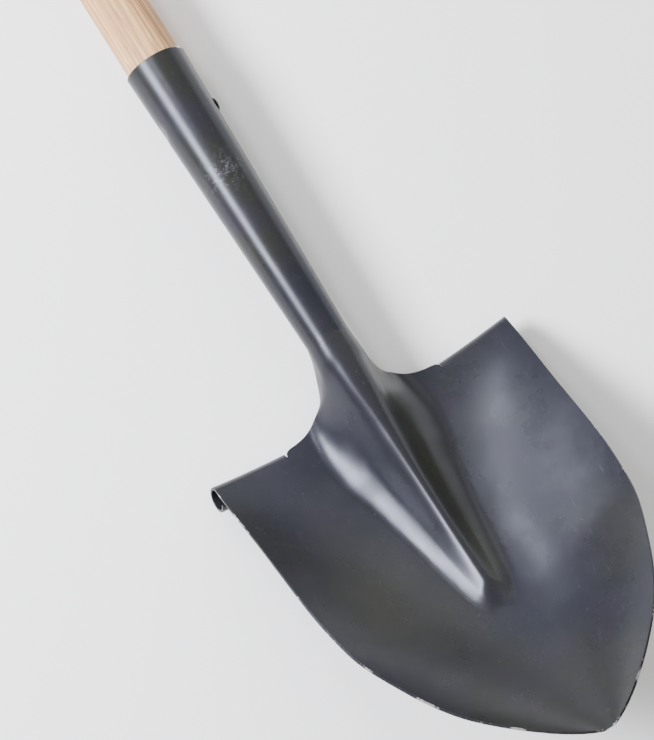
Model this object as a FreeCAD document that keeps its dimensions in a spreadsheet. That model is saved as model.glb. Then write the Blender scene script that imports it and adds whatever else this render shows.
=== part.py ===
import FreeCAD, Part
import math
import os
import Sketcher

# Round-point digging shovel: one pressed steel blade with its socket, a wooden handle, one rivet.
# Modelled in the blade's own frame (millimetres): x runs from the tread line to the tip, y is
# lateral, z is out of the front face. The last step lays the whole tool on the ground.

os.makedirs("parts", exist_ok=True)
doc = FreeCAD.newDocument("shovel")
V = FreeCAD.Vector

# ---------------------------------------------------------------- driving dimensions
DIMENSIONS = [
    ("sheet", 1.8, "thickness of the pressed sheet"),
    ("tip_x", 282.0, "tread line to tip"),
    ("half_width", 110.0, "half the width at the treads"),
    ("lift", 23.9, "angle of the handle above the blade, degrees"),
    ("axis_z", 21.2, "height of the handle axis over x = 0"),
    ("rim_at", 248.0, "socket rim, measured up the handle axis from x = 0"),
    ("throat_at", 35.0, "end of the closed socket, same measure"),
    ("rim_radius", 21.0, "outside radius at the rim"),
    ("throat_radius", 14.7, "outside radius at the throat"),
    ("seam_gap", 2.4, "gap of the seam at the back of the socket"),
    ("roll_radius", 8.5, "outside radius of the rolled treads"),
    ("roll_turn", 290.0, "how far the treads are rolled, degrees"),
    ("roll_inner", 58.5, "inner end of a tread, from the middle"),
    ("tread_x", 6.5, "where the flat blade turns into the roll"),
    ("join_x", -6.5, "where the throat pressing meets the blade pressing"),
    ("flange_half", 33.0, "half-width of the flange at that line"),
    ("handle_radius", 19.0, "round handle"),
    ("handle_foot", 52.0, "end of the handle inside the socket, up the axis"),
    ("handle_butt", 1252.0, "free end of the handle, up the axis"),
    ("butt_round", 9.0, "rounding of the free end"),
    ("fit_gap", 0.15, "gap between the handle and the socket, and under the pan head"),
    ("rivet_at", 205.0, "rivet, up the axis"),
    ("rivet_radius", 3.0, "shank of the rivet"),
    ("rivet_hole", 3.1, "hole for the shank"),
    ("head_radius", 4.5, "pan head of the rivet"),
    ("head_height", 1.8, "height of the pan head"),
    ("head_chamfer", 0.9, "chamfer round the pan head"),
    ("sunk_depth", 0.8, "how far that end lies below the socket's surface"),
]
sheet_obj = doc.addObject("Spreadsheet::Sheet", "dims")
for row, (alias, value, note) in enumerate(DIMENSIONS, start=1):
    sheet_obj.set("A%d" % row, note)
    sheet_obj.set("B%d" % row, str(value))
    sheet_obj.setAlias("B%d" % row, alias)
doc.recompute()
D = {alias: float(sheet_obj.get(alias)) for alias, value, note in DIMENSIONS}

LIFT = math.radians(D["lift"])
AXIS_START = V(0, 0, D["axis_z"])
UP_AXIS = V(-math.cos(LIFT), 0, math.sin(LIFT))
FRONT = V(math.sin(LIFT), 0, math.cos(LIFT))
SIDE = V(0, 1, 0)


# ---------------------------------------------------------------- the pressed surface
def through(stations, x):
    """Smooth curve through (position, value) stations: monotone cubic, flat ends extended."""
    if x <= stations[0][0]:
        return stations[0][1]
    if x >= stations[-1][0]:
        return stations[-1][1]
    count = len(stations)
    steps = [stations[i + 1][0] - stations[i][0] for i in range(count - 1)]
    rates = [(stations[i + 1][1] - stations[i][1]) / steps[i] for i in range(count - 1)]
    slopes = [rates[0]]
    for i in range(1, count - 1):
        if rates[i - 1] * rates[i] <= 0:
            slopes.append(0.0)
            continue
        before = 2 * steps[i] + steps[i - 1]
        after = steps[i] + 2 * steps[i - 1]
        slopes.append((before + after) / (before / rates[i - 1] + after / rates[i]))
    slopes.append(rates[-1])
    i = max(k for k in range(count - 1) if stations[k][0] <= x)
    t = (x - stations[i][0]) / steps[i]
    start = (1 + 2 * t) * (1 - t) ** 2 * stations[i][1] + t * (1 - t) ** 2 * steps[i] * slopes[i]
    end = t * t * (3 - 2 * t) * stations[i + 1][1] - t * t * (1 - t) * steps[i] * slopes[i + 1]
    return start + end


# Stations along x: height of the dish's middle, of its side edges, and half the outline's width.
MIDDLE = [(-20, -3), (7, -9), (40, -18), (80, -25.5), (120, -29.5), (150, -30.5), (180, -28.5),
          (210, -23), (245, -13), (282, -1)]
EDGE = [(-20, 3), (7, 4), (60, 7), (120, 9), (160, 8.5), (200, 7), (240, 4.3), (282, 0)]
FLANGE = [(-6.5, 33), (-5, 35.5), (-3.5, 38.5), (-2, 42), (-0.8, 46), (0, 50), (0.6, 54), (1.6, 56.6),
          (3.2, 57.9), (6.5, 58.5)]
WIDTH = [(-20, 110), (7, 110), (60, 108), (115, 106.5), (155, 102), (197, 86.5), (226, 70),
         (248, 50), (265, 30), (276, 13.5), (282, 1)]
# Ridge: height of its crest, half-width of its foot, and how round the crest and foot are.
CREST = [(-26, 48.8), (-6.5, 39.5), (20, 26), (40, 16), (60, 6.5), (80, -2), (100, -9.5),
         (120, -16), (140, -21), (158, -25)]
FOOT = [(-10, 38), (5, 42), (20, 43), (40, 40), (60, 34), (80, 29), (100, 25), (120, 22),
        (140, 18.5), (160, 14.5), (180, 12)]
ROUND = [(-10, 22), (10, 15), (25, 9.5), (40, 6.5), (60, 4.8), (80, 3.8), (100, 3.2), (120, 2.7),
         (140, 2.3), (160, 2)]
STEEP = [(-10, 14), (10, 17), (30, 19), (60, 17), (100, 12), (130, 9), (160, 6)]
# How far the ridge has its two-slope flanks. Where the steep flank breaks into the shoulder, as
# shares of the foot's half-width and of the rise, and the curves' handles on each side of that.
FLANKED = [(-6.5, 0), (45, 1)]
BREAK_Y = 0.5
BREAK_SHARES = [(60, 0.37), (150, 0.46)]
FLANK_BACK, FLANK_UP = 0.16, 0.2
SHOULDER_ON, SHOULDER_DOWN, SHOULDER_FLAT = 0.1, 0.11, 0.9
# The ridge's end: middle of its slope, the slope's length, how far and how wide the lobes reach.
RIDGE_END, END_SLOPE = 154.5, 21.0
LOBE_REACH, LOBE_SPAN = 4.0, 0.85
# Evens out the dish where the outline closes at the tip.
TIP_ROUND = 8.0


def dish(x, y):
    middle = through(MIDDLE, x)
    width = through(WIDTH, x)
    return middle + (through(EDGE, x) - middle) * y * y / (width * width + TIP_ROUND ** 2)


def ridge_rise(x, y):
    """Height of the ridge over the dish before its cross-section shape; blunt, two-lobed end."""
    foot = through(FOOT, x)
    across = min(abs(y) / foot, 1.0)
    end = RIDGE_END + LOBE_REACH * math.sin(math.pi * min(across * LOBE_SPAN, 1.0)) ** 2
    fade = min(max((end + END_SLOPE * 0.5 - x) / END_SLOPE, 0.0), 1.0)
    return (through(CREST, x) - through(MIDDLE, x)) * fade * fade * (3 - 2 * fade)


def cubic(a, b, c, d, t):
    return (1 - t) ** 3 * a + 3 * (1 - t) ** 2 * t * b + 3 * (1 - t) * t * t * c + t ** 3 * d


def ridge_point(x, t):
    """Cross-section of the ridge: (distance from the middle, share of the rise), t = 0 at crest.

    Near the throat it is one S-curve; further down, a steep flank over a gentler shoulder.
    """
    foot = through(FOOT, x)
    crown = through(ROUND, x)
    broken = through(BREAK_SHARES, x)
    y = cubic(0, crown, through(STEEP, x), foot, t)
    share = cubic(1, 1, 0, 0, t)
    if t < 0.5:
        flank_y = cubic(0, crown, (BREAK_Y - FLANK_BACK) * foot, BREAK_Y * foot, 2 * t)
        flank_share = cubic(1, 1, broken + FLANK_UP, broken, 2 * t)
    else:
        flank_y = cubic(BREAK_Y * foot, (BREAK_Y + SHOULDER_ON) * foot, SHOULDER_FLAT * foot, foot,
                        2 * t - 1)
        flank_share = cubic(broken, broken - SHOULDER_DOWN, 0, 0, 2 * t - 1)
    flanked = through(FLANKED, x)
    return y + (flank_y - y) * flanked, share + (flank_share - share) * flanked


def face(x, y):
    """Height of the front face over (x, y)."""
    far = abs(y)
    if x > 190 or far >= through(FOOT, x):
        return dish(x, y)
    low, high = 0.0, 1.0
    for step in range(30):
        middle = (low + high) / 2
        if ridge_point(x, middle)[0] < far:
            low = middle
        else:
            high = middle
    return dish(x, y) + ridge_rise(x, y) * ridge_point(x, low)[1]


def face_normal(x, y):
    d = 0.05
    along = (face(x + d, y) - face(x - d, y)) / (2 * d)
    across = (face(x, y + d) - face(x, y - d)) / (2 * d)
    return V(-along, -across, 1).normalize()


def behind(point, normal, plane_normal):
    """The point's partner on the back face, kept in the section plane."""
    flat = normal - plane_normal * normal.dot(plane_normal)
    length = flat.Length
    return point - flat * (D["sheet"] / (length * length))


def through_points(points, parameters):
    curve = Part.BSplineCurve()
    curve.interpolate(Points=points, Parameters=parameters)
    return curve


def grid_surface(rows, row_at, column_at):
    """Surface through a grid of points; equal borders and parameters give equal edges."""
    row_curves = [through_points(row, column_at) for row in rows]
    columns = zip(*[curve.getPoles() for curve in row_curves])
    column_curves = [through_points(list(column), row_at) for column in columns]
    poles = [list(line) for line in zip(*[curve.getPoles() for curve in column_curves])]
    down = column_curves[0]
    over = row_curves[0]
    surface = Part.BSplineSurface()
    surface.buildFromPolesMultsKnots(poles, down.getMultiplicities(), over.getMultiplicities(),
                                     down.getKnots(), over.getKnots(), False, False,
                                     down.Degree, over.Degree)
    return surface


def strip(first_row, second_row, column_at):
    """Narrow face between two rows of points."""
    return grid_surface([list(first_row), list(second_row)], [0.0, 1.0], column_at).toShape()


def in_halves(surface):
    """The surface as a left and a right face, cut at parameter 0."""
    u0, u1, v0, v1 = surface.bounds()
    faces = []
    for start, end in ((v0, 0.0), (0.0, v1)):
        if end > start:
            piece = surface.copy()
            piece.segment(u0, u1, start, end)
            faces.append(piece.toShape())
    return faces


# ---------------------------------------------------------------- blade pressing
HALF_COLUMNS = 24
WING_COLUMNS = 8


def centre_ys(x, reach):
    """Distances from the middle for the columns of one half: denser on the ridge."""
    half = HALF_COLUMNS // 2
    ys = [ridge_point(x, 0.5 * k / half)[0] for k in range(half + 1)]
    side = ys[-1]
    return ys + [side + (reach - side) * k / half for k in range(1, half + 1)]


def section_rows(x, ys):
    """Front and back points over x, from left to right."""
    all_ys = [-y for y in reversed(ys[1:])] + ys
    front = [V(x, y, face(x, y)) for y in all_ys]
    back = [behind(p, face_normal(p.x, p.y), V(1, 0, 0)) for p in front]
    return front, back


def blade_section(x):
    width = through(WIDTH, x)
    inner = D["roll_inner"] * width / D["half_width"]
    spread = min(max((x - RIDGE_END + 45) / 80, 0.0), 1.0)
    ys = [y + (inner * k / HALF_COLUMNS - y) * spread for k, y in enumerate(centre_ys(x, inner))]
    ys += [inner + (width - inner) * k / WING_COLUMNS for k in range(1, WING_COLUMNS + 1)]
    return section_rows(x, ys)


blade_xs = [D["tread_x"]]
while blade_xs[-1] < 262:
    blade_xs.append(blade_xs[-1] + (3.0 if 132 < blade_xs[-1] < 174 else 9.0))
blade_xs += [273, 278, D["tip_x"] - 0.8]
blade_rows = [blade_section(x) for x in blade_xs]


CENTRE_AT = [k / HALF_COLUMNS for k in range(-HALF_COLUMNS, HALF_COLUMNS + 1)]
WING_AT = [k / WING_COLUMNS for k in range(WING_COLUMNS + 1)]
LAST = 2 * (HALF_COLUMNS + WING_COLUMNS)

blade_faces = []
for layer in (0, 1):
    grid = [r[layer] for r in blade_rows]
    blade_faces.append(grid_surface([r[:WING_COLUMNS + 1] for r in grid], blade_xs, WING_AT).toShape())
    blade_faces += in_halves(grid_surface([r[WING_COLUMNS:LAST - WING_COLUMNS + 1] for r in grid],
                                          blade_xs, CENTRE_AT))
    blade_faces.append(grid_surface([r[LAST - WING_COLUMNS:] for r in grid], blade_xs, WING_AT).toShape())
for side in (0, -1):
    blade_faces.append(strip([r[0][side] for r in blade_rows], [r[1][side] for r in blade_rows],
                             blade_xs))
tip_front, tip_back = blade_rows[-1]
for start, end, at in ((0, WING_COLUMNS, WING_AT), (LAST - WING_COLUMNS, LAST, WING_AT)):
    blade_faces.append(strip(tip_front[start:end + 1], tip_back[start:end + 1], at))
middle = slice(WING_COLUMNS, LAST - WING_COLUMNS + 1)
blade_faces += in_halves(grid_surface([tip_front[middle], tip_back[middle]], [0.0, 1.0], CENTRE_AT))


# ---------------------------------------------------------------- throat pressing
def outer_radius(up):
    """Outside radius of the tapered socket at a distance up the axis."""
    share = (up - D["throat_at"]) / (D["rim_at"] - D["throat_at"])
    return D["throat_radius"] + (D["rim_radius"] - D["throat_radius"]) * share


def bezier(controls, t):
    points = list(controls)
    while len(points) > 1:
        points = [((1 - t) * a[0] + t * b[0], (1 - t) * a[1] + t * b[1])
                  for a, b in zip(points, points[1:])]
    return points[0]


def split(controls, t):
    """The two halves of a Bezier curve cut at t."""
    points = list(controls)
    first = [points[0]]
    last = [points[-1]]
    while len(points) > 1:
        points = [((1 - t) * a[0] + t * b[0], (1 - t) * a[1] + t * b[1])
                  for a, b in zip(points, points[1:])]
        first.append(points[0])
        last.append(points[-1])
    return first, last[::-1]


# Half-sections as (distance from the middle, depth under the crest): two curves, crest to side
# and side to free edge, at the closed socket, half-way through the throat and at the blade.
ARC = 0.5523
R = D["throat_radius"]
GAP = D["seam_gap"] / 2
JOIN = D["join_x"]
RISE = ridge_rise(JOIN, 0)
socket_edge = (GAP, R + math.sqrt(R * R - GAP * GAP))
whole = [(0, 0), (through(ROUND, JOIN), 0), (through(STEEP, JOIN), RISE), (through(FOOT, JOIN), RISE)]
low, high = 0.5, 1.0
for step in range(40):
    cut_at = (low + high) / 2
    if bezier(whole, cut_at)[0] < D["flange_half"]:
        low = cut_at
    else:
        high = cut_at
upper_half, lower_half = split(whole, 0.5)
lower_half = split(lower_half, (cut_at - 0.5) / 0.5)[0]

CONTROLS = [
    [(0, 0), (ARC * R, 0), (R, R - ARC * R), (R, R), (R, R + ARC * R),
     (GAP + ARC * R, socket_edge[1] + 0.1), socket_edge],
    [(0, 0), (9.4, 0), (15.5, 8.0), (16.3, 17.5), (17.0, 24.5), (17.9, 30.5), (19.0, 35.0)],
    upper_half + lower_half[1:],
]
EDGE_PATH = [(0, socket_edge), (0.25, (11.0, 30.0)), (0.5, (16.7, 32.0)), (0.8, (22.0, 40.5)),
             (1, lower_half[-1])]
EDGE_HANDLE = [(0, CONTROLS[0][5]), (0.25, (14.6, 28.5)), (0.5, (17.3, 29.0)), (0.8, (18.8, 34.0)),
               (1, lower_half[-2])]
MID_THROAT = 0.6

throat_crest = AXIS_START + UP_AXIS * D["throat_at"] + FRONT * R


def throat_controls(s):
    points = []
    for k in range(7):
        pair = []
        for axis in (0, 1):
            if k < 5:
                stations = [(0, CONTROLS[0][k][axis]), (MID_THROAT, CONTROLS[1][k][axis]),
                            (1, CONTROLS[2][k][axis])]
            else:
                path = EDGE_HANDLE if k == 5 else EDGE_PATH
                stations = [(at, value[axis]) for at, value in path]
            pair.append(through(stations, s))
        points.append(tuple(pair))
    return points


def throat_frame(s):
    """Crest point and in-plane down direction of the section at share s of the throat."""
    x = throat_crest.x + (JOIN - throat_crest.x) * s
    z = through(CREST, x) + (throat_crest.z - through(CREST, throat_crest.x)) * (1 - s)
    tilt = LIFT * (1 - s)
    return V(x, 0, z), V(-math.sin(tilt), 0, -math.cos(tilt))


def half_section(controls, u):
    if u <= 0.5:
        return bezier(controls[:4], u * 2)
    return bezier(controls[3:], u * 2 - 1)


def join_section(u):
    """The same half-section taken from the blade's own face."""
    y = ridge_point(JOIN, min(u, 0.5))[0]
    if u > 0.5:
        y += (D["flange_half"] - y) * (u - 0.5) * 2
    return y, through(CREST, JOIN) - face(JOIN, y)


def throat_point(s, u):
    crest, down = throat_frame(s)
    y, depth = half_section(throat_controls(s), abs(u))
    blade_y, blade_depth = join_section(abs(u))
    drawn_y, drawn_depth = half_section(CONTROLS[2], abs(u))
    y += (blade_y - drawn_y) * s * s
    depth += (blade_depth - drawn_depth) * s * s
    return crest + down * depth + SIDE * (y if u > 0 else -y)


def throat_row(s):
    d = 0.004
    crest, down = throat_frame(s)
    plane_normal = SIDE.cross(down)
    shares = [k / HALF_COLUMNS for k in range(-HALF_COLUMNS, HALF_COLUMNS + 1)]
    if s == 0:
        rows = []
        for radius in (R, R - D["sheet"]):
            end = math.pi - math.asin(GAP / radius)
            rows.append([crest + down * (R - radius * math.cos(end * u))
                         + SIDE * (radius * math.sin(end * u)) for u in shares])
        return rows
    front = [throat_point(s, u) for u in shares]
    back = []
    for u, p in zip(shares, front):
        if s == 1:
            back.append(behind(p, face_normal(p.x, p.y), plane_normal))
            continue
        across = throat_point(s, min(u + d, 1.0)) - throat_point(s, max(u - d, -1.0))
        along = throat_point(min(s + d, 1), u) - throat_point(max(s - d, 0), u)
        outward = across.cross(plane_normal).normalize()
        lean = max(abs(across.cross(along).normalize().dot(outward)), 0.6)
        back.append(p - outward * (D["sheet"] / lean))
    return front, back


throat_rows = [throat_row(k / 14) for k in range(15)]
for x, reach in FLANGE[1:]:
    throat_rows.append(section_rows(x, centre_ys(x, reach)))
throat_at = [JOIN * k / 14 + throat_crest.x * (1 - k / 14) for k in range(15)]
throat_at += [x for x, reach in FLANGE[1:]]
throat_faces = []
for layer in (0, 1):
    throat_faces += in_halves(grid_surface([r[layer] for r in throat_rows], throat_at, CENTRE_AT))
for side in (0, -1):
    throat_faces.append(strip([r[0][side] for r in throat_rows], [r[1][side] for r in throat_rows],
                              throat_at))

# ---------------------------------------------------------------- rolled treads
ROLL_COLUMNS = 20


def tread_roll(sign):
    """Faces of one rolled tread, starting on the first section of the blade."""
    first_front, first_back = blade_rows[0]
    columns = range(-WING_COLUMNS - 1, 0) if sign > 0 else range(WING_COLUMNS + 1)
    outer_rows = []
    inner_rows = []
    for column in columns:
        start = first_front[column]
        normal = (start - first_back[column]).normalize()
        centre = start - normal * D["roll_radius"]
        rows = []
        for radius in (D["roll_radius"], D["roll_radius"] - (start - first_back[column]).Length):
            angles = [math.radians(D["roll_turn"]) * k / ROLL_COLUMNS for k in range(ROLL_COLUMNS + 1)]
            rows.append([centre + normal * (radius * math.cos(a)) - V(radius * math.sin(a), 0, 0)
                         for a in angles])
        outer_rows.append(rows[0])
        inner_rows.append(rows[1])
    turn_at = [k / ROLL_COLUMNS for k in range(ROLL_COLUMNS + 1)]
    return [
        grid_surface(outer_rows, WING_AT, turn_at).toShape(),
        grid_surface(inner_rows, WING_AT, turn_at).toShape(),
        strip([r[-1] for r in outer_rows], [r[-1] for r in inner_rows], WING_AT),
        strip(outer_rows[0], inner_rows[0], turn_at),
        strip(outer_rows[-1], inner_rows[-1], turn_at),
    ]


roll_faces = tread_roll(1) + tread_roll(-1)

# ---------------------------------------------------------------- socket
along_axis = FreeCAD.Rotation(SIDE, 180 + D["lift"])


def on_axis(up):
    """Placement with local x up the handle axis, at a distance up it."""
    return FreeCAD.Placement(AXIS_START + UP_AXIS * up, along_axis)


def socket_cone(name, inset):
    cone = doc.addObject("Part::Cone", name)
    cone.setExpression("Radius1", "dims.throat_radius - %s" % inset)
    cone.setExpression("Radius2", "dims.rim_radius - %s" % inset)
    cone.setExpression("Height", "dims.rim_at - dims.throat_at")
    cone.Placement = on_axis(D["throat_at"]).multiply(
        FreeCAD.Placement(V(), FreeCAD.Rotation(SIDE, 90)))
    return cone


# How far a cutter runs past what it cuts, and the depth of the countersink.
OVERRUN = 10.0
SINK_DEPTH = 3.0

outside = socket_cone("socket_outside", "0")
inside = socket_cone("socket_inside", "dims.sheet")
tube = doc.addObject("Part::Cut", "socket_tube")
tube.Base = outside
tube.Tool = inside
slot = doc.addObject("Part::Box", "seam_slot")
slot.setExpression("Width", "dims.seam_gap")
slot.setExpression("Height", "dims.rim_radius + %g" % OVERRUN)
slot.setExpression("Length", "dims.rim_at - dims.throat_at + %g" % (2 * OVERRUN))
slot.Placement = on_axis(D["throat_at"] - OVERRUN).multiply(
    FreeCAD.Placement(V(0, -D["seam_gap"] / 2, 0), FreeCAD.Rotation()))
socket = doc.addObject("Part::Cut", "socket")
socket.Base = tube
socket.Tool = slot
doc.recompute()


def cross_hole(name):
    hole = doc.addObject("Part::Cylinder", name)
    hole.setExpression("Radius", "dims.rivet_hole")
    reach = D["rim_radius"] + OVERRUN
    hole.Height = 2 * reach
    hole.Placement = on_axis(D["rivet_at"]).multiply(
        FreeCAD.Placement(V(0, reach, 0), FreeCAD.Rotation(V(1, 0, 0), 90)))
    return hole


SOCKET_AT_RIVET = outer_radius(D["rivet_at"])
drilled = doc.addObject("Part::Cut", "drilled_socket")
drilled.Base = socket
drilled.Tool = cross_hole("socket_hole")
sink = doc.addObject("Part::Cone", "countersink")
sink.setExpression("Radius1", "dims.rivet_hole")
sink.setExpression("Radius2", "dims.rivet_hole + %g" % SINK_DEPTH)
sink.Height = SINK_DEPTH
sink.Placement = on_axis(D["rivet_at"]).multiply(FreeCAD.Placement(
    V(0, -(SOCKET_AT_RIVET - D["sheet"]), 0), FreeCAD.Rotation(V(1, 0, 0), 90)))
finished_socket = doc.addObject("Part::Cut", "finished_socket")
finished_socket.Base = drilled
finished_socket.Tool = sink
doc.recompute()

# ---------------------------------------------------------------- one sheet
throat_ring = in_halves(grid_surface(throat_rows[0], [0.0, 1.0], CENTRE_AT))
shell = Part.makeShell(throat_faces + blade_faces + roll_faces + throat_ring)
shell.sewShape(0.02)
pressing = Part.makeSolid(shell)
if pressing.Volume < 0:
    pressing.reverse()
blade = doc.addObject("Part::Feature", "blade")
blade.Shape = pressing.fuse(finished_socket.Shape.Solids[0], 0.001).Solids[0]


# ---------------------------------------------------------------- turned parts
def turned_body(name, corners, axis_name):
    """Body made by turning a closed outline; corners are (x, y, expression x, expression y)."""
    body = doc.addObject("PartDesign::Body", name)
    sketch = body.newObject("Sketcher::SketchObject", name + "_outline")
    sketch.AttachmentSupport = [(body.Origin.OriginFeatures[3], "")]
    sketch.MapMode = "FlatFace"
    count = len(corners)
    for i in range(count):
        a = corners[i]
        b = corners[(i + 1) % count]
        sketch.addGeometry(Part.LineSegment(V(a[0], a[1], 0), V(b[0], b[1], 0)), False)
    for i in range(count):
        sketch.addConstraint(Sketcher.Constraint("Coincident", i, 2, (i + 1) % count, 1))
    for i, (x, y, x_formula, y_formula) in enumerate(corners):
        for kind, value, formula, axis_line in (("DistanceX", x, x_formula, -2),
                                                ("DistanceY", y, y_formula, -1)):
            if value == 0:
                sketch.addConstraint(Sketcher.Constraint("PointOnObject", i, 1, axis_line))
                continue
            index = sketch.addConstraint(Sketcher.Constraint(kind, -1, 1, i, 1, value))
            label = "corner_%d_%s" % (i, "across" if kind == "DistanceX" else "up")
            sketch.renameConstraint(index, label)
            if formula:
                sketch.setExpression("Constraints." + label, formula)
    turn = body.newObject("PartDesign::Revolution", name + "_turned")
    turn.Profile = sketch
    turn.ReferenceAxis = (sketch, [axis_name])
    turn.Angle = 360
    body.Tip = turn
    return body


FOOT_RADIUS = (
    "(dims.throat_radius + (dims.rim_radius - dims.throat_radius)"
    " * (dims.handle_foot - dims.throat_at) / (dims.rim_at - dims.throat_at)"
    " - dims.sheet - dims.fit_gap)"
)
foot_radius = outer_radius(D["handle_foot"]) - D["sheet"] - D["fit_gap"]
wood = turned_body("handle_blank", [
    (D["handle_foot"], 0, "dims.handle_foot", None),
    (D["handle_foot"], foot_radius, "dims.handle_foot", FOOT_RADIUS),
    (D["rim_at"], D["handle_radius"], "dims.rim_at", "dims.handle_radius"),
    (D["handle_butt"], D["handle_radius"], "dims.handle_butt", "dims.handle_radius"),
    (D["handle_butt"], 0, "dims.handle_butt", None),
], "H_Axis")
doc.recompute()
wood_turned = wood.Tip
butt_edges = [
    "Edge%d" % number for number, edge in enumerate(wood_turned.Shape.Edges, start=1)
    if edge.BoundBox.XMin > D["handle_butt"] - 1e-4 and edge.BoundBox.YMax > 1
]
dome = wood.newObject("PartDesign::Fillet", "butt_rounding")
dome.Base = (wood_turned, butt_edges)
dome.setExpression("Radius", "dims.butt_round")
wood.Tip = dome
wood.Placement = on_axis(0)
handle = doc.addObject("Part::Cut", "handle")
handle.Base = wood
handle.Tool = cross_hole("handle_hole")

sunk_at = SOCKET_AT_RIVET - D["sunk_depth"]
neck_at = SOCKET_AT_RIVET - D["sheet"] + 0.1
sunk_half = D["rivet_radius"] + sunk_at - neck_at
seat_at = SOCKET_AT_RIVET + D["fit_gap"]
head_out = seat_at + D["head_height"]
rivet = turned_body("rivet", [
    (0, -sunk_at, None, None),
    (sunk_half, -sunk_at, None, None),
    (D["rivet_radius"], -neck_at, "dims.rivet_radius", None),
    (D["rivet_radius"], seat_at, "dims.rivet_radius", None),
    (D["head_radius"], seat_at, "dims.head_radius", None),
    (D["head_radius"], head_out - D["head_chamfer"], "dims.head_radius", None),
    (D["head_radius"] - D["head_chamfer"], head_out, "dims.head_radius - dims.head_chamfer", None),
    (0, head_out, None, None),
], "V_Axis")
rivet.Placement = on_axis(D["rivet_at"])
doc.recompute()

# ---------------------------------------------------------------- lay the tool on the ground
blade_points = blade.Shape.tessellate(0.05)[0]
handle_points = handle.Shape.tessellate(0.05)[0]


def lowest(points, angle):
    """Lowest height of the points once they are turned about the y axis."""
    return min(p.z * math.cos(angle) - p.x * math.sin(angle) for p in points)


steep, shallow = math.radians(-30), math.radians(-D["lift"])
for step in range(40):
    pitch = (steep + shallow) / 2
    if lowest(handle_points, pitch) > lowest(blade_points, pitch):
        shallow = pitch
    else:
        steep = pitch

turn_down = FreeCAD.Placement(V(), FreeCAD.Rotation(SIDE, math.degrees(pitch)))
turned = [turn_down.multVec(p) for p in blade_points + handle_points]
middle_x = (min(p.x for p in turned) + max(p.x for p in turned)) / 2
ground_z = min(p.z for p in turned)
rest = FreeCAD.Placement(V(-middle_x, 0, -ground_z), FreeCAD.Rotation()).multiply(turn_down)
for piece in (blade, handle, rivet):
    piece.Placement = rest.multiply(piece.Placement)
doc.recompute()

for item in doc.Objects:
    if "Invalid" in item.State or "Error" in item.State:
        raise RuntimeError("%s did not recompute" % item.Label)
for piece in (blade, handle, rivet):
    if piece.Shape.isNull() or not piece.Shape.isValid() or len(piece.Shape.Solids) != 1:
        raise RuntimeError("%s is not one valid solid" % piece.Label)
    piece.Shape.exportStep("parts/%s.step" % piece.Label)
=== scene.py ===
import math

import bmesh
import bpy
from mathutils import Matrix, Vector


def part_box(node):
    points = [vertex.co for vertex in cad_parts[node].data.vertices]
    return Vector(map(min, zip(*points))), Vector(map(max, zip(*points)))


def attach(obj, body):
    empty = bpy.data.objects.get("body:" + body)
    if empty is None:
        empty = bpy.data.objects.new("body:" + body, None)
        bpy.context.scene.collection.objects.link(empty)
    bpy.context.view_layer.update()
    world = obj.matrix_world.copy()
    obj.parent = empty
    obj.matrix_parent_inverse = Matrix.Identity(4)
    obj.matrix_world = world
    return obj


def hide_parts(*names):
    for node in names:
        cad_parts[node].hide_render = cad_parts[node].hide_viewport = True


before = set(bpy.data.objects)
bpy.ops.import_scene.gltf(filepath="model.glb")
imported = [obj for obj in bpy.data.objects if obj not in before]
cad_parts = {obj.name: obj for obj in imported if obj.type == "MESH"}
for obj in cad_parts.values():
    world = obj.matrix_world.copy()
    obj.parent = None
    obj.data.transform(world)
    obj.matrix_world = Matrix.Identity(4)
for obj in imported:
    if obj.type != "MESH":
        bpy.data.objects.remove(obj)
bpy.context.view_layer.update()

# Round-point shovel lying on the ground. The blade's surface is worked out in the blade's own frame
# (millimetres: x from the tread line to the tip, y sideways, z out of the front), then laid down.

MM = 0.001
SHEET = 1.8
TIP_X = 282.0
LIFT = math.radians(23.9)
AXIS_START = Vector((0, 0, 21.2))
UP_AXIS = Vector((-math.cos(LIFT), 0, math.sin(LIFT)))
FRONT = Vector((math.sin(LIFT), 0, math.cos(LIFT)))
SIDE = Vector((0, 1, 0))
RIM_AT, THROAT_AT = 248.0, 35.0
RIM_RADIUS, THROAT_RADIUS = 21.0, 14.7
HALF_GAP = 1.2
ROLL_RADIUS = 8.5
ROLL_TURN = math.radians(290)
ROLL_INNER, HALF_WIDTH = 58.5, 110.0
TREAD_X, JOIN_X, FLANGE_HALF = 6.5, -6.5, 33.0
HANDLE_RADIUS, HANDLE_FOOT, HANDLE_BUTT, BUTT_ROUND = 19.0, 52.0, 1252.0, 9.0
FIT_GAP = 0.15
RIVET_AT = 205.0
DIMPLE_DEPTH, DIMPLE_RADIUS = 1.2, 4.5
# Turn about y that rests the tool on its treads and the free end of its handle.
PITCH = math.radians(-24.7493)


# ------------------------------------------------------------------ the pressed surface
def through(stations, x):
    """Smooth curve through (position, value) stations: monotone cubic, flat ends extended."""
    if x <= stations[0][0]:
        return stations[0][1]
    if x >= stations[-1][0]:
        return stations[-1][1]
    count = len(stations)
    steps = [stations[i + 1][0] - stations[i][0] for i in range(count - 1)]
    rates = [(stations[i + 1][1] - stations[i][1]) / steps[i] for i in range(count - 1)]
    slopes = [rates[0]]
    for i in range(1, count - 1):
        if rates[i - 1] * rates[i] <= 0:
            slopes.append(0.0)
            continue
        before = 2 * steps[i] + steps[i - 1]
        after = steps[i] + 2 * steps[i - 1]
        slopes.append((before + after) / (before / rates[i - 1] + after / rates[i]))
    slopes.append(rates[-1])
    i = max(k for k in range(count - 1) if stations[k][0] <= x)
    t = (x - stations[i][0]) / steps[i]
    start = (1 + 2 * t) * (1 - t) ** 2 * stations[i][1] + t * (1 - t) ** 2 * steps[i] * slopes[i]
    end = t * t * (3 - 2 * t) * stations[i + 1][1] - t * t * (1 - t) * steps[i] * slopes[i + 1]
    return start + end


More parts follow.
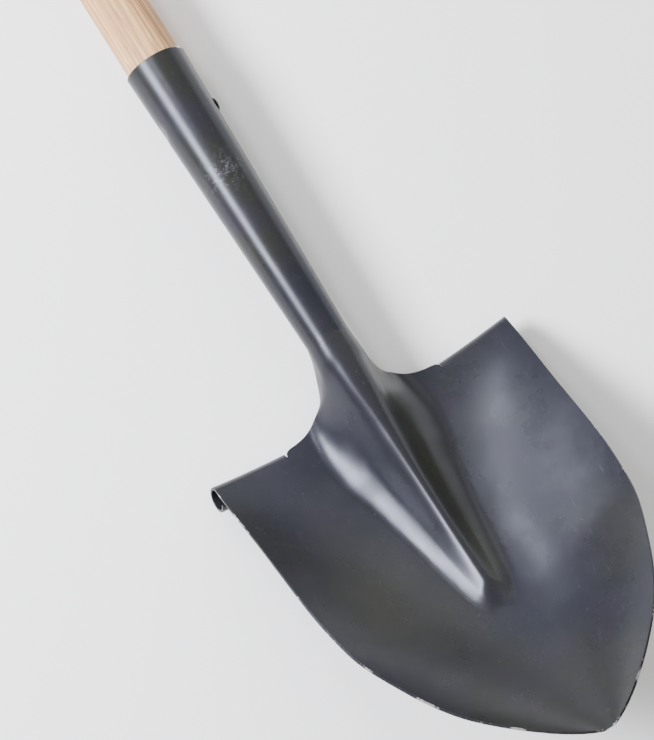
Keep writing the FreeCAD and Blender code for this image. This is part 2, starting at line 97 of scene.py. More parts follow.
MIDDLE = [(-20, -3), (7, -9), (40, -18), (80, -25.5), (120, -29.5), (150, -30.5), (180, -28.5),
          (210, -23), (245, -13), (282, -1)]
EDGE = [(-20, 3), (7, 4), (60, 7), (120, 9), (160, 8.5), (200, 7), (240, 4.3), (282, 0)]
FLANGE = [(-6.5, 33), (-5, 35.5), (-3.5, 38.5), (-2, 42), (-0.8, 46), (0, 50), (0.6, 54),
          (1.6, 56.6), (3.2, 57.9), (6.5, 58.5)]
WIDTH = [(-20, 110), (7, 110), (60, 108), (115, 106.5), (155, 102), (197, 86.5), (226, 70),
         (248, 50), (265, 30), (276, 13.5), (282, 1)]
CREST = [(-26, 48.8), (-6.5, 39.5), (20, 26), (40, 16), (60, 6.5), (80, -2), (100, -9.5),
         (120, -16), (140, -21), (158, -25)]
FOOT = [(-10, 38), (5, 42), (20, 43), (40, 40), (60, 34), (80, 29), (100, 25), (120, 22),
        (140, 18.5), (160, 14.5), (180, 12)]
ROUND = [(-10, 22), (10, 15), (25, 9.5), (40, 6.5), (60, 4.8), (80, 3.8), (100, 3.2), (120, 2.7),
         (140, 2.3), (160, 2)]
STEEP = [(-10, 14), (10, 17), (30, 19), (60, 17), (100, 12), (130, 9), (160, 6)]
# How far the ridge has its two-slope flanks. Where the steep flank breaks into the shoulder, as
# shares of the foot's half-width and of the rise, and the curves' handles on each side of that.
FLANKED = [(-6.5, 0), (45, 1)]
BREAK_Y = 0.5
BREAK_SHARES = [(60, 0.37), (150, 0.46)]
FLANK_BACK, FLANK_UP = 0.16, 0.2
SHOULDER_ON, SHOULDER_DOWN, SHOULDER_FLAT = 0.1, 0.11, 0.9
# The ridge's end: middle of its slope, the slope's length, how far and how wide the lobes reach,
# and where nothing is left but the dish.
RIDGE_END, END_SLOPE = 154.5, 21.0
LOBE_REACH, LOBE_SPAN = 4.0, 0.85
PLAIN_FROM = 190
# Evens out the dish where the outline closes at the tip.
TIP_ROUND = 8.0


def dish(x, y):
    middle = through(MIDDLE, x)
    width = through(WIDTH, x)
    return middle + (through(EDGE, x) - middle) * y * y / (width * width + TIP_ROUND ** 2)


def ridge_rise(x, y):
    """Height of the ridge over the dish before its cross-section shape; blunt, two-lobed end."""
    foot = through(FOOT, x)
    across = min(abs(y) / foot, 1.0)
    end = RIDGE_END + LOBE_REACH * math.sin(math.pi * min(across * LOBE_SPAN, 1.0)) ** 2
    fade = min(max((end + END_SLOPE * 0.5 - x) / END_SLOPE, 0.0), 1.0)
    return (through(CREST, x) - through(MIDDLE, x)) * fade * fade * (3 - 2 * fade)


def cubic(a, b, c, d, t):
    return (1 - t) ** 3 * a + 3 * (1 - t) ** 2 * t * b + 3 * (1 - t) * t * t * c + t ** 3 * d


def ridge_point(x, t):
    """Cross-section of the ridge: (distance from the middle, share of the rise), t = 0 at crest.

    Near the throat it is one S-curve; further down, a steep flank over a gentler shoulder.
    """
    foot = through(FOOT, x)
    crown = through(ROUND, x)
    broken = through(BREAK_SHARES, x)
    y = cubic(0, crown, through(STEEP, x), foot, t)
    share = cubic(1, 1, 0, 0, t)
    if t < 0.5:
        flank_y = cubic(0, crown, (BREAK_Y - FLANK_BACK) * foot, BREAK_Y * foot, 2 * t)
        flank_share = cubic(1, 1, broken + FLANK_UP, broken, 2 * t)
    else:
        flank_y = cubic(BREAK_Y * foot, (BREAK_Y + SHOULDER_ON) * foot, SHOULDER_FLAT * foot, foot,
                        2 * t - 1)
        flank_share = cubic(broken, broken - SHOULDER_DOWN, 0, 0, 2 * t - 1)
    flanked = through(FLANKED, x)
    return y + (flank_y - y) * flanked, share + (flank_share - share) * flanked


FACE_HALVINGS = 30


def face(x, y):
    """Height of the front face over (x, y)."""
    far = abs(y)
    if x > PLAIN_FROM or far >= through(FOOT, x):
        return dish(x, y)
    low, high = 0.0, 1.0
    for _ in range(FACE_HALVINGS):
        middle = (low + high) / 2
        if ridge_point(x, middle)[0] < far:
            low = middle
        else:
            high = middle
    return dish(x, y) + ridge_rise(x, y) * ridge_point(x, low)[1]


HALF_COLUMNS = 36
WING_COLUMNS = 14
# Past the ridge the columns spread evenly: how far before its end that starts, and how long it
# takes.
SPREAD_BEFORE, SPREAD_LENGTH = 45, 80
# Width of the last column along the outline, and its largest share of the wing.
LIP, LIP_SHARE = 0.8, 0.2


def centre_ys(x, reach):
    """Distances from the middle for the columns of one half: denser on the ridge."""
    half = HALF_COLUMNS // 2
    ys = [ridge_point(x, 0.5 * k / half)[0] for k in range(half + 1)]
    side = ys[-1]
    return ys + [side + (reach - side) * k / half for k in range(1, half + 1)]


def mirrored_row(x, ys):
    return [Vector((x, y, face(x, y))) for y in [-y for y in reversed(ys[1:])] + ys]


def blade_row(x):
    width = through(WIDTH, x)
    inner = ROLL_INNER * width / HALF_WIDTH
    spread = min(max((x - RIDGE_END + SPREAD_BEFORE) / SPREAD_LENGTH, 0.0), 1.0)
    ys = [y + (inner * k / HALF_COLUMNS - y) * spread
          for k, y in enumerate(centre_ys(x, inner))]
    lip = min(LIP, (width - inner) * LIP_SHARE)
    ys += [inner + (width - lip - inner) * k / (WING_COLUMNS - 1)
           for k in range(1, WING_COLUMNS)]
    return mirrored_row(x, ys + [width])


# ------------------------------------------------------------------ throat and socket
def outer_radius(up):
    share = (up - THROAT_AT) / (RIM_AT - THROAT_AT)
    return THROAT_RADIUS + (RIM_RADIUS - THROAT_RADIUS) * share


def bezier(controls, t):
    points = list(controls)
    while len(points) > 1:
        points = [((1 - t) * a[0] + t * b[0], (1 - t) * a[1] + t * b[1])
                  for a, b in zip(points, points[1:])]
    return points[0]


def split(controls, t):
    """The two halves of a Bezier curve cut at t."""
    points = list(controls)
    first = [points[0]]
    last = [points[-1]]
    while len(points) > 1:
        points = [((1 - t) * a[0] + t * b[0], (1 - t) * a[1] + t * b[1])
                  for a, b in zip(points, points[1:])]
        first.append(points[0])
        last.append(points[-1])
    return first, last[::-1]


ARC = 0.5523  # handle length of a Bezier quarter circle, as a share of its radius
R = THROAT_RADIUS
RISE = ridge_rise(JOIN_X, 0)
CUT_HALVINGS = 40
socket_edge = (HALF_GAP, R + math.sqrt(R * R - HALF_GAP * HALF_GAP))
# The blade's half-section where the throat meets it, cut off at the flange's edge.
whole = [(0, 0), (through(ROUND, JOIN_X), 0), (through(STEEP, JOIN_X), RISE),
         (through(FOOT, JOIN_X), RISE)]
low, high = 0.5, 1.0
for _ in range(CUT_HALVINGS):
    cut_at = (low + high) / 2
    if bezier(whole, cut_at)[0] < FLANGE_HALF:
        low = cut_at
    else:
        high = cut_at
upper_half, lower_half = split(whole, 0.5)
lower_half = split(lower_half, (cut_at - 0.5) / 0.5)[0]

# Half-sections as (distance from the middle, depth under the crest), crest to side to free edge,
# at the closed socket, half-way through the throat and at the blade.
CONTROLS = [
    [(0, 0), (ARC * R, 0), (R, R - ARC * R), (R, R), (R, R + ARC * R),
     (HALF_GAP + ARC * R, socket_edge[1] + 0.1), socket_edge],
    [(0, 0), (9.4, 0), (15.5, 8.0), (16.3, 17.5), (17.0, 24.5), (17.9, 30.5), (19.0, 35.0)],
    upper_half + lower_half[1:],
]
# The free edge and the handle before it, down the throat.
EDGE_PATH = [(0, socket_edge), (0.25, (11.0, 30.0)), (0.5, (16.7, 32.0)), (0.8, (22.0, 40.5)),
             (1, lower_half[-1])]
EDGE_HANDLE = [(0, CONTROLS[0][5]), (0.25, (14.6, 28.5)), (0.5, (17.3, 29.0)),
               (0.8, (18.8, 34.0)), (1, lower_half[-2])]
MID_THROAT = 0.6
throat_crest = AXIS_START + UP_AXIS * THROAT_AT + FRONT * R
SHARES = [k / HALF_COLUMNS for k in range(-HALF_COLUMNS, HALF_COLUMNS + 1)]


def throat_controls(s):
    """Seven control points of the half-section a share s of the way down the throat.

    The last two follow the free edge.
    """
    points = []
    for k in range(7):
        pair = []
        for axis in (0, 1):
            if k < 5:
                stations = [(0, CONTROLS[0][k][axis]), (MID_THROAT, CONTROLS[1][k][axis]),
                            (1, CONTROLS[2][k][axis])]
            else:
                path = EDGE_HANDLE if k == 5 else EDGE_PATH
                stations = [(at, value[axis]) for at, value in path]
            pair.append(through(stations, s))
        points.append(tuple(pair))
    return points


def half_section(controls, u):
    if u <= 0.5:
        return bezier(controls[:4], u * 2)
    return bezier(controls[3:], u * 2 - 1)


def join_section(u):
    """Half-section of the blade itself at the join, as (distance from the middle, depth)."""
    y = ridge_point(JOIN_X, min(u, 0.5))[0]
    if u > 0.5:
        y += (FLANGE_HALF - y) * (u - 0.5) * 2
    return y, through(CREST, JOIN_X) - face(JOIN_X, y)


def throat_row(s):
    x = throat_crest.x + (JOIN_X - throat_crest.x) * s
    z = through(CREST, x) + (throat_crest.z - through(CREST, throat_crest.x)) * (1 - s)
    tilt = LIFT * (1 - s)
    crest = Vector((x, 0, z))
    down = Vector((-math.sin(tilt), 0, -math.cos(tilt)))
    controls = throat_controls(s)
    row = []
    for u in SHARES:
        y, depth = half_section(controls, abs(u))
        blade_y, blade_depth = join_section(abs(u))
        drawn_y, drawn_depth = half_section(CONTROLS[2], abs(u))
        y += (blade_y - drawn_y) * s * s
        depth += (blade_depth - drawn_depth) * s * s
        row.append(crest + down * depth + SIDE * (y if u > 0 else -y))
    return row


def bell(value, width):
    return math.exp(-(value / width) ** 2)


def socket_row(up):
    """Outside of the socket, dimpled round the sunk end of the rivet."""
    radius = outer_radius(up)
    end = math.pi - math.asin(HALF_GAP / radius)
    centre = AXIS_START + UP_AXIS * up
    row = []
    for u in SHARES:
        off_rivet = math.hypot(up - RIVET_AT, radius * (end * u + math.pi / 2))
        reach = radius - DIMPLE_DEPTH * bell(off_rivet, DIMPLE_RADIUS)
        row.append(centre + FRONT * (reach * math.cos(end * u))
                   + SIDE * (reach * math.sin(end * u)))
    return row


# Rows of the mesh: from the socket's rim to the tread line, then from there to the tip.
SOCKET_ROWS = 142
THROAT_ROWS = 30
FLANGE_STEP = 0.5
ROW_STEP, FINE_STEP = 2.4, 1.2
FINE_FROM, FINE_TO, STEPS_END = 138, 172, 274
TIP_XS = [276, 278, 279.6, 280.8, 281.6]
spine_rows = [socket_row(RIM_AT + (THROAT_AT - RIM_AT) * k / SOCKET_ROWS)
              for k in range(SOCKET_ROWS)]
spine_rows.append(socket_row(THROAT_AT))
spine_rows += [throat_row(k / THROAT_ROWS) for k in range(1, THROAT_ROWS + 1)]
flange_rows = round((TREAD_X - JOIN_X) / FLANGE_STEP)
flange_xs = [JOIN_X + FLANGE_STEP * k for k in range(1, flange_rows + 1)]
spine_rows += [mirrored_row(x, centre_ys(x, through(FLANGE, x))) for x in flange_xs]

blade_xs = [TREAD_X]
while blade_xs[-1] < STEPS_END:
    blade_xs.append(blade_xs[-1] + (FINE_STEP if FINE_FROM < blade_xs[-1] < FINE_TO else ROW_STEP))
blade_rows = [blade_row(x) for x in blade_xs + TIP_XS]
ROLL_STEPS = 48
SLOPE_STEP = 0.05


def roll_grid(columns):
    """Rows of one rolled tread, starting on the first section of the blade."""
    angles = [ROLL_TURN * k / ROLL_STEPS for k in range(ROLL_STEPS + 1)]
    rows = []
    for column in columns:
        start = blade_rows[0][column]
        step_up = face(start.x, start.y + SLOPE_STEP) - face(start.x, start.y - SLOPE_STEP)
        normal = Vector((0, -step_up / (2 * SLOPE_STEP), 1)).normalized()
        centre = start - normal * ROLL_RADIUS
        rows.append([centre + normal * (ROLL_RADIUS * math.cos(a))
                     - Vector((ROLL_RADIUS * math.sin(a), 0, 0)) for a in angles])
    return rows


# ------------------------------------------------------------------ laying it on the ground
def turned(point):
    return Vector((point.x * math.cos(PITCH) + point.z * math.sin(PITCH), point.y,
                   point.z * math.cos(PITCH) - point.x * math.sin(PITCH)))


blade_low, blade_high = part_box("blade")
tip = turned(blade_rows[-1][len(blade_rows[-1]) // 2])
rolls = [roll_grid(range(-WING_COLUMNS - 1, 0)), roll_grid(range(WING_COLUMNS + 1))]
lowest = min(turned(p).z for rows in rolls for row in rows for p in row)
# The tip row stops short of the blade's box, so that the thickened sheet ends inside it.
TIP_INSET, GROUND_INSET = 0.4 * MM, 0.01 * MM
SHIFT = Vector((blade_high.x - tip.x * MM - TIP_INSET, 0,
                blade_low.z - lowest * MM + GROUND_INSET))
SMOOTH_ANGLE = math.radians(30)


def laid(point):
    """Blade-frame millimetres to the row frame's metres."""
    return turned(point) * MM + SHIFT


def new_object(name, bm):
    mesh = bpy.data.meshes.new(name)
    bm.to_mesh(mesh)
    bm.free()
    mesh.shade_smooth()
    mesh.set_sharp_from_angle(angle=SMOOTH_ANGLE)
    piece = bpy.data.objects.new(name, mesh)
    bpy.context.scene.collection.objects.link(piece)
    return piece


# ------------------------------------------------------------------ blade
bm = bmesh.new()
worn_layer = bm.verts.layers.float.new("worn")
scuffed_layer = bm.verts.layers.float.new("scuffed")
# Vertex attribute for a painted olive sheen: lighter colour standing in for reflected light.
painted_sheen_layer = bm.verts.layers.float.new("painted_sheen")

# A scuffed patch part way up the front of the socket.
SCUFF_X, SCUFF_Y, SCUFF_LENGTH, SCUFF_WIDTH = -138.0, -3.0, 9.0, 11.0
# Painted sheen, a lighter olive standing in for reflected light, on one flank of the ridge: middle
# and width as shares of the foot, first x, the fade at its end. The same painted sheen low on the
# other side of the dish: its middle, size, how much longer than wide, amount.
FLANK_SHEEN, FLANK_SHEEN_WIDTH, FLANK_SHEEN_X = 0.45, 0.34, -25
SHEEN_PAST_RIDGE, SHEEN_FADE = 12, 30
SIDE_SHEEN_X, SIDE_SHEEN_Y, SIDE_SHEEN_SIZE, SIDE_SHEEN_LONGER, SIDE_SHEEN = 125, -62, 38, 1.4, 0.8
# How worn the paint is: on the socket's rim, with more bare metal on one side as a painted
# highlight; on the outline's two outer columns; at the tip; and beside the crest, fading in over
# the throat and out along the ridge.
RIM_WEAR, RIM_WEAR_AND_HIGHLIGHT, HIGHLIGHT_SIDE_Y, RIM_WEAR_ROWS = 0.9, 1.45, 8, 2.0
EDGE_WEAR = [1.0, 0.25]
TIP_WEAR, TIP_WEAR_LENGTH = 0.9, 3.0
CREST_WEAR, CREST_WEAR_Y = 0.95, 1.6
THROAT_WEAR_WIDTH, THROAT_WEAR_X, THROAT_WEAR_FADE = 2.6, -60, 50
RIDGE_WEAR_WIDTH, RIDGE_WEAR_LENGTH = 2.2, 75


def painted_sheen(point):
    """How strong the painted olive sheen, a painted reflection of light, is at a point."""
    foot = through(FOOT, point.x)
    fade = min(max((RIDGE_END + SHEEN_PAST_RIDGE - point.x) / SHEEN_FADE, 0.0), 1.0)
    flank = bell(point.y - FLANK_SHEEN * foot, FLANK_SHEEN_WIDTH * foot) * fade
    off_side = math.hypot((point.x - SIDE_SHEEN_X) / SIDE_SHEEN_LONGER, point.y - SIDE_SHEEN_Y)
    low_side = bell(off_side, SIDE_SHEEN_SIZE)
    return max(flank if point.x > FLANK_SHEEN_X else 0.0, SIDE_SHEEN * low_side)


def scuffed(point):
    return bell(point.x - SCUFF_X, SCUFF_LENGTH) * bell(point.y - SCUFF_Y, SCUFF_WIDTH)


def add_grid(rows, flip, worn_at):
    """Quads over a grid of blade-frame points; worn_at gives how far the paint is worn at each."""
    made = []
    for i, row in enumerate(rows):
        line = []
        for j, point in enumerate(row):
            vert = bm.verts.new(laid(point))
            vert[worn_layer] = worn_at(i, j, point)
            vert[scuffed_layer] = scuffed(point)
            vert[painted_sheen_layer] = painted_sheen(point)
            line.append(vert)
        made.append(line)
    for i in range(len(rows) - 1):
        for j in range(len(rows[0]) - 1):
            quad = [made[i][j], made[i + 1][j], made[i + 1][j + 1], made[i][j + 1]]
            bm.faces.new(quad[::-1] if flip else quad)


def spine_worn(i, j, point):
    # Rim wear all round, and extra bare metal on one side of the rim as a painted highlight.
    rim = (RIM_WEAR_AND_HIGHLIGHT if point.y > HIGHLIGHT_SIDE_Y else RIM_WEAR) * bell(i, RIM_WEAR_ROWS)
    crest = bell(point.y - CREST_WEAR_Y, THROAT_WEAR_WIDTH)
    fade = min(max((point.x - THROAT_WEAR_X) / THROAT_WEAR_FADE, 0.0), 1.0)
    return max(rim, CREST_WEAR * crest * fade)


def blade_worn(i, j, point):
    side = min(j, len(blade_rows[0]) - 1 - j)
    edge = EDGE_WEAR[side] if side < len(EDGE_WEAR) else 0.0
    tip_wear = TIP_WEAR * bell(point.x - TIP_X, TIP_WEAR_LENGTH)
    crest = CREST_WEAR * bell(point.y - CREST_WEAR_Y, RIDGE_WEAR_WIDTH)
    return max(edge, tip_wear, crest * bell(max(point.x, 0), RIDGE_WEAR_LENGTH))


def unworn(i, j, point):
    return 0.0


WELD = 0.02 * MM
CHAMFER, CHAMFER_OVER = 0.3 * MM, math.radians(50)
UNCHAMFERED_TIP = 16 * MM

add_grid(spine_rows, False, spine_worn)
add_grid(blade_rows, False, blade_worn)
for rows in rolls:
    add_grid(rows, True, unworn)
bmesh.ops.remove_doubles(bm, verts=bm.verts, dist=WELD)
bmesh.ops.recalc_face_normals(bm, faces=bm.faces)
# The largest face is on the blade's open front, so it tells which way the sheet is turned.
largest = max(bm.faces, key=lambda f: f.calc_area())
if largest.normal.z < 0:
    bmesh.ops.reverse_faces(bm, faces=bm.faces)
skin = new_object("skin", bm)
thicken = skin.modifiers.new("thicken", "SOLIDIFY")
thicken.thickness = SHEET * MM
thicken.offset = -1.0
thicken.use_even_offset = True
thick = bpy.data.meshes.new_from_object(skin.evaluated_get(bpy.context.evaluated_depsgraph_get()))
bpy.data.objects.remove(skin)

bm = bmesh.new()
bm.from_mesh(thick)
chamfered = [edge for edge in bm.edges
             if len(edge.link_faces) == 2 and edge.calc_face_angle() > CHAMFER_OVER
             and max(v.co.x for v in edge.verts) < blade_high.x - UNCHAMFERED_TIP]
bmesh.ops.bevel(bm, geom=chamfered, offset=CHAMFER, segments=1, profile=0.5, affect="EDGES",
                clamp_overlap=False)
bmesh.ops.recalc_face_normals(bm, faces=bm.faces)
# The sharp tip thickens a little past the CAD blade's box, and is brought back to it.
for vert in bm.verts:
    vert.co.x = min(vert.co.x, blade_high.x)
    vert.co.z = min(vert.co.z, blade_high.z)
blade = new_object("blade_pressing", bm)
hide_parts("blade")


# ------------------------------------------------------------------ handle and rivet
def frame_on_axis(up):
    """Row-frame origin and axes (up the handle, side, front) at a distance up the handle."""
    return laid(AXIS_START + UP_AXIS * up), turned(UP_AXIS), SIDE, turned(FRONT)


def lathe(name, profile, centre, axis, first, second, segments):
    """Closed solid turned about axis; profile is (distance along axis, radius) in millimetres."""
    bm = bmesh.new()
    rings = []
    for at, radius in profile:
        if radius == 0:
            rings.append([bm.verts.new(centre + axis * (at * MM))])
            continue
        ring = []
        for k in range(segments):
            angle = 2 * math.pi * k / segments
            offset = first * math.cos(angle) + second * math.sin(angle)
            ring.append(bm.verts.new(centre + axis * (at * MM) + offset * (radius * MM)))
        rings.append(ring)
    for a, b in zip(rings, rings[1:]):
        for k in range(segments):
            n = (k + 1) % segments
            corners = [a[k % len(a)], a[n % len(a)], b[n % len(b)], b[k % len(b)]]
            bm.faces.new(list(dict.fromkeys(corners)))
    bmesh.ops.recalc_face_normals(bm, faces=bm.faces)
    return new_object(name, bm)


QUARTER = math.pi / 2
FOOT_BREAK = 0.6
TAPER_RINGS, STRAIGHT_RINGS, BUTT_RINGS, HANDLE_SEGMENTS = 10, 60, 10, 96

origin, up_dir, side_dir, front_dir = frame_on_axis(0)
foot_radius = outer_radius(HANDLE_FOOT) - SHEET - FIT_GAP
profile = [(HANDLE_FOOT, 0), (HANDLE_FOOT, foot_radius - FOOT_BREAK),
           (HANDLE_FOOT + FOOT_BREAK, foot_radius)]
profile += [(HANDLE_FOOT + (RIM_AT - HANDLE_FOOT) * k / TAPER_RINGS,
             foot_radius + (HANDLE_RADIUS - foot_radius) * k / TAPER_RINGS)
            for k in range(1, TAPER_RINGS + 1)]
straight_end = HANDLE_BUTT - BUTT_ROUND
profile += [(RIM_AT + (straight_end - RIM_AT) * k / STRAIGHT_RINGS, HANDLE_RADIUS)
            for k in range(1, STRAIGHT_RINGS + 1)]
profile += [(straight_end + BUTT_ROUND * math.sin(QUARTER * k / BUTT_RINGS),
             HANDLE_RADIUS - BUTT_ROUND * (1 - math.cos(QUARTER * k / BUTT_RINGS)))
            for k in range(1, BUTT_RINGS + 1)]
profile += [(HANDLE_BUTT, 0)]
handle = lathe("handle_shaft", profile, origin, up_dir, side_dir, front_dir, HANDLE_SEGMENTS)
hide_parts("handle")

HEAD_RADIUS, HEAD_HEIGHT, HEAD_RIM, SHANK = 4.5, 1.8, 0.35, 3.0
# The sunk end, as (depth under its rim, radius): a shallow cup with a broken edge.
SUNK, SUNK_END = 0.8, [(0, 0), (0.25, 2.0), (0, 3.4), (0.15, 3.75)]
SHANK_START = SHEET - 0.1
HEAD_RINGS, RIVET_SEGMENTS = 8, 40

rivet_centre = frame_on_axis(RIVET_AT)[0]
surface = outer_radius(RIVET_AT)
rivet_profile = [(-surface + SUNK + depth, radius) for depth, radius in SUNK_END]
rivet_profile += [(-surface + SHANK_START, SHANK), (surface + FIT_GAP, SHANK),
                  (surface + FIT_GAP, HEAD_RADIUS)]
dome = HEAD_HEIGHT - HEAD_RIM
rivet_profile += [(surface + FIT_GAP + HEAD_RIM + dome * math.sin(QUARTER * k / HEAD_RINGS),
                   HEAD_RADIUS * math.cos(QUARTER * k / HEAD_RINGS)) for k in range(HEAD_RINGS)]
rivet_profile += [(surface + FIT_GAP + HEAD_HEIGHT, 0)]
rivet = lathe("rivet_pin", rivet_profile, rivet_centre, side_dir, front_dir, up_dir,
              RIVET_SEGMENTS)
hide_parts("rivet")


# ------------------------------------------------------------------ materials
class Net:
    """Small helper round a material's node tree."""

    def __init__(self, name):
        self.material = bpy.data.materials.new(name)
        self.material.use_nodes = True
        self.tree = self.material.node_tree
        self.shader = self.tree.nodes["Principled BSDF"]
        self.where = self.node("TexCoord").outputs["Object"]

    def node(self, kind, inputs=(), **settings):
        made = self.tree.nodes.new("ShaderNode" + kind)
        for key, value in settings.items():
            setattr(made, key, value)
        for key, value in dict(inputs).items():
            self.put(made.inputs[key], value)
        return made

    def put(self, socket, value):
        if isinstance(value, bpy.types.NodeSocket):
            self.tree.links.new(value, socket)
        else:
            socket.default_value = value

    def math(self, operation, a, b=0.0):
        return self.node("Math", {0: a, 1: b}, operation=operation).outputs[0]

    def stretched(self, scale, turn):
        """Coordinates turned, then scaled."""
        spun = self.node("Mapping", {"Vector": self.where, "Rotation": turn})
        return self.node("Mapping", {"Vector": spun.outputs[0], "Scale": scale}).outputs[0]

    def noise(self, scale, detail, rough=0.5, coords=None, distortion=0.0):
        made = self.node("TexNoise", {"Vector": coords or self.where, "Scale": scale,
                                      "Detail": detail, "Roughness": rough,
                                      "Distortion": distortion})
        return made.outputs["Fac"]

    def span(self, value, low, high, to_low=0.0, to_high=1.0, smooth=False):
        """Value taken from the range low to high to another range, and held inside it."""
        made = self.node("MapRange", {"Value": value, "From Min": low, "From Max": high,
                                      "To Min": to_low, "To Max": to_high}, clamp=True)
        if smooth:
            made.interpolation_type = "SMOOTHSTEP"
        return made.outputs[0]

    def mix(self, factor, a, b):
        """Colour a turning into colour b."""
        made = self.node("Mix", data_type="RGBA")
        self.put(made.inputs[0], factor)
        self.put(made.inputs[6], a)
        self.put(made.inputs[7], b)
        return made.outputs[2]

    def attribute(self, name):
        return self.node("Attribute", attribute_name=name).outputs["Fac"]

    def bump(self, height, strength, distance, below=None):
        made = self.node("Bump", {"Height": height, "Strength": strength, "Distance": distance})
        if below:
            self.put(made.inputs["Normal"], below)
        return made.outputs[0]


def rgb(red, green, blue):
    return (red, green, blue, 1.0)


BLUE_BLACK, OLIVE_BLACK = rgb(0.0105, 0.0105, 0.0145), rgb(0.0150, 0.0150, 0.0120)
VIOLET_BLACK = rgb(0.016, 0.0135, 0.020)
# The first colour is a lighter olive for the painted sheen (painted reflected light); the second is
# grime.
PAINTED_SHEEN_OLIVE, GRIME = rgb(0.034, 0.034, 0.025), rgb(0.04, 0.04, 0.04)
SCRATCH, SCUFF, BARE_METAL = rgb(0.09, 0.09, 0.095), rgb(0.10, 0.10, 0.12), rgb(0.50, 0.48, 0.45)
SCRATCH_SLANT = 0.12
PALE_WOOD, WARM_WOOD = rgb(0.68, 0.385, 0.165), rgb(0.38, 0.165, 0.050)
GROWTH_LINE, PORE, STAIN = rgb(0.34, 0.15, 0.055), rgb(0.19, 0.085, 0.032), rgb(0.72, 0.55, 0.36)
# Turn about y from the row frame to the handle's axis, for the grain.
GRAIN_TILT = 0.0148
BLADE_WEAR, RIVET_WEAR = 0.46, 0.0


def paint(name, wear):
    """Satin black paint on pressed steel: blue-grey and olive clouding, scuffs, bare worn spots."""
    net = Net(name)
    shader = net.shader
    # Black that drifts between blue-grey, olive and violet, under a painted olive sheen (painted
    # reflected light) and grime.
    clouds = net.span(net.noise(9, 1.5, 0.45), 0.36, 0.66, smooth=True)
    colour = net.mix(clouds, BLUE_BLACK, OLIVE_BLACK)
    tint = net.span(net.noise(23, 2, 0.5, distortion=0.4), 0.42, 0.76, smooth=True)
    colour = net.mix(net.math("MULTIPLY", tint, 0.7), colour, VIOLET_BLACK)
    # Painted sheen: a lighter olive laid on where the vertex attribute below is high, standing in
    # for reflected light on one ridge flank and low on the dish.
    thickness = net.span(net.noise(48, 3, 0.6), 0.2, 0.8, 0.7, 1.0)
    painted_sheen_amount = net.math("MULTIPLY", net.attribute("painted_sheen"), thickness)
    colour = net.mix(painted_sheen_amount, colour, PAINTED_SHEEN_OLIVE)
    grime = net.span(net.noise(140, 5, 0.7), 0.52, 0.9)
    colour = net.mix(net.math("MULTIPLY", grime, 0.2), colour, GRIME)

    # Fine scratches along the blade, the scuffed patch and stray flecks.
    scratch_coords = net.stretched((26, 900, 900), (0, -PITCH, SCRATCH_SLANT))
    scratches = net.span(net.noise(1.0, 4, 0.65, coords=scratch_coords), 0.66, 0.74)
    colour = net.mix(net.math("MULTIPLY", scratches, 0.35), colour, SCRATCH)
    specks = net.span(net.noise(330, 5, 0.8), 0.50, 0.62)
    scuffs = net.math("MULTIPLY", net.attribute("scuffed"), specks)
    flecks = net.span(net.noise(760, 1, 0.4), 0.80, 0.84)
    colour = net.mix(net.math("MAXIMUM", scuffs, flecks), colour, SCUFF)

    # Bare metal where the wear, raised by noise, passes a level.
    chips = net.math("MULTIPLY", net.noise(420, 4, 0.75), 0.55)
    patches = net.math("MULTIPLY", net.noise(60, 2, 0.5), 0.75)
    level = net.math("ADD", net.math("MULTIPLY", net.attribute("worn"), wear),
                     net.math("ADD", chips, patches))
    bare = net.span(level, 1.18, 1.26)
    colour = net.mix(bare, colour, BARE_METAL)
    net.put(shader.inputs["Base Color"], colour)
    net.put(shader.inputs["Metallic"], net.math("MULTIPLY", bare, 0.85))

    uneven = net.span(net.noise(34, 4, 0.6), 0.3, 0.7, 0.25, 0.33)
    uneven = net.math("ADD", uneven, net.math("MULTIPLY", grime, 0.02))
    uneven = net.math("ADD", uneven, net.math("MULTIPLY", scratches, 0.12))
    net.put(shader.inputs["Roughness"], uneven)
    shader.inputs["Specular IOR Level"].default_value = 0.27
    shader.inputs["IOR"].default_value = 1.5
    shader.inputs["Specular Tint"].default_value = rgb(0.90, 0.91, 1.0)

    waves = net.bump(net.noise(30, 2, 0.45), 0.35, 0.0008)
    peel = net.bump(net.noise(1100, 2, 0.5), 0.07, 0.00012, waves)
    lines = net.bump(net.math("SUBTRACT", 1.0, scratches), 0.10, 0.00006, peel)
    chipped = net.bump(net.math("SUBTRACT", 1.0, bare), 0.35, 0.00008, lines)
    net.put(shader.inputs["Normal"], chipped)
    return net.material


